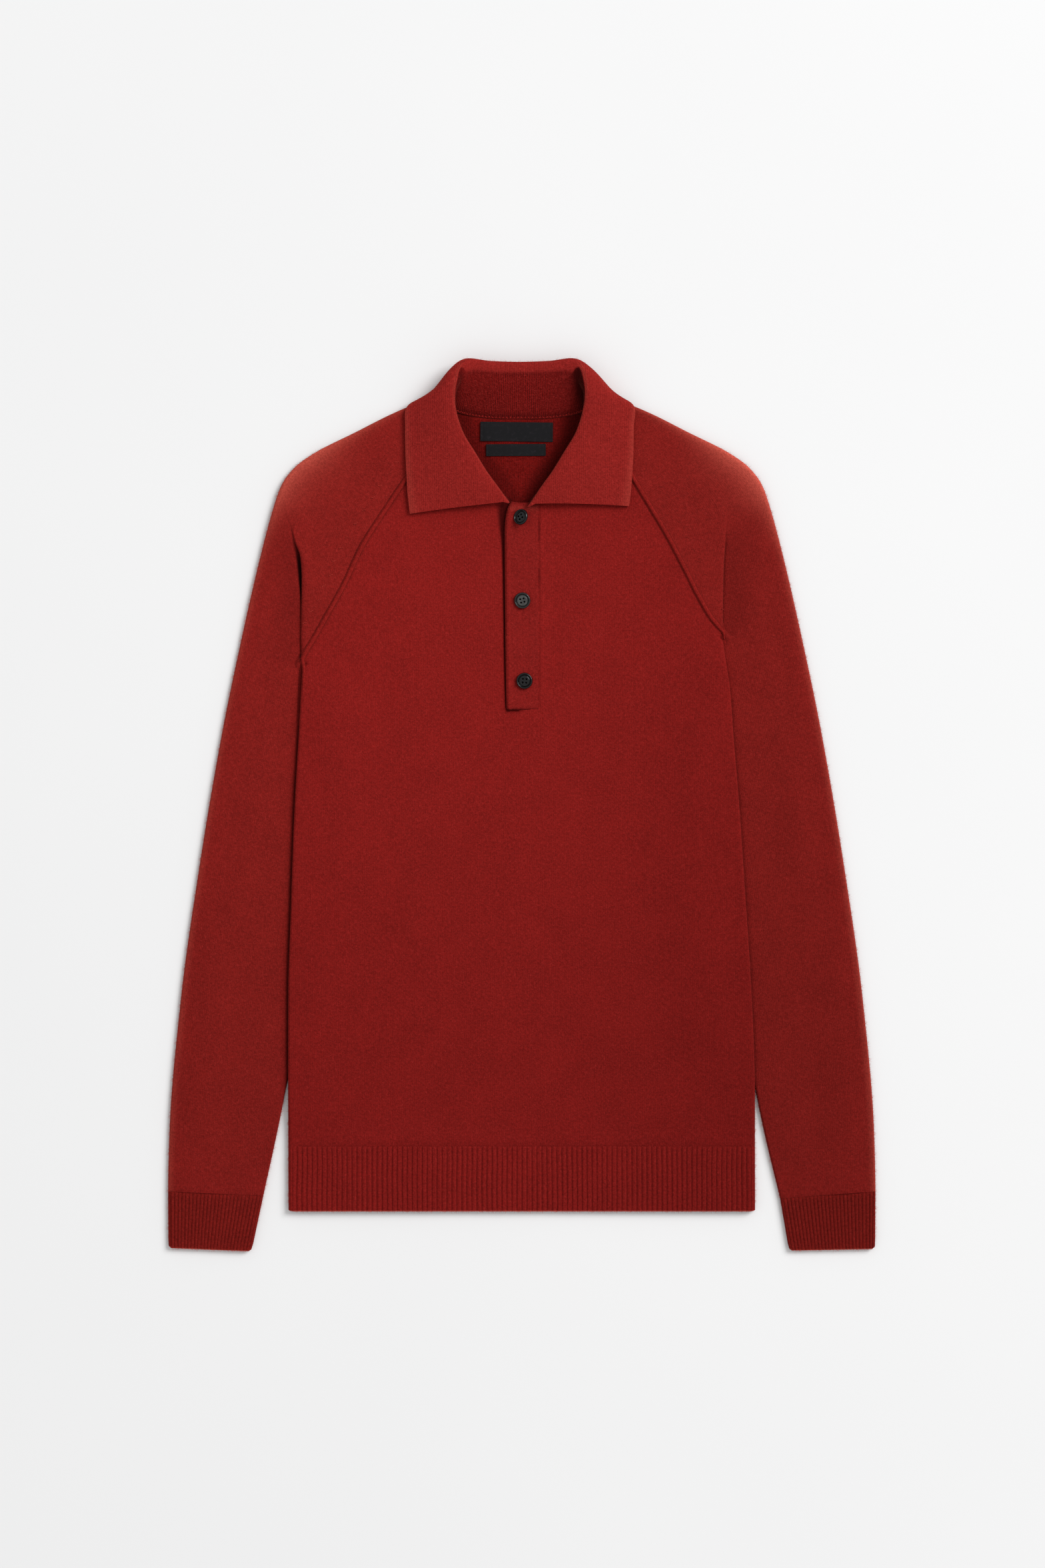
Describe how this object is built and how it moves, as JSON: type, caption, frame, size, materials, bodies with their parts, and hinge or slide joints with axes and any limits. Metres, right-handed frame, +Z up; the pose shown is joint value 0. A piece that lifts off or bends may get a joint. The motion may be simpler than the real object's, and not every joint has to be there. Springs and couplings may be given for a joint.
{
  "type": "polo sweater",
  "caption": "Long-sleeved raglan knitted polo sweater laid out flat, with a fold-down collar, a short buttoned placket, and ribbed hem and cuffs.",
  "frame": {"origin": "under the middle of the sweater's outline, on the surface it lies on", "axes": "+X across the sweater to the viewer's right, +Y along it from the hem to the collar, +Z up from the surface, the side that shows"},
  "size_m": [0.6108, 0.7688, 0.0212],
  "materials": {
    "plain_knit": "brushed wool, matt",
    "rib_knit": "ribbed wool, matt",
    "collar_knit": "fine knitted wool, matt",
    "button": "polished horn look",
    "label": "woven tape, satin"
  },
  "bodies": {
    "root": {"front": "plain_knit", "back": "plain_knit", "hem_front": "rib_knit", "hem_back": "rib_knit", "sleeve_left": "plain_knit", "sleeve_right": "plain_knit", "cuff_left": "rib_knit", "cuff_right": "rib_knit", "collar": "collar_knit", "placket_over": "plain_knit", "placket_under": "plain_knit", "button_top": "button", "button_middle": "button", "button_bottom": "button", "label_main": "label", "label_care": "label"}
  },
  "joints": []
}
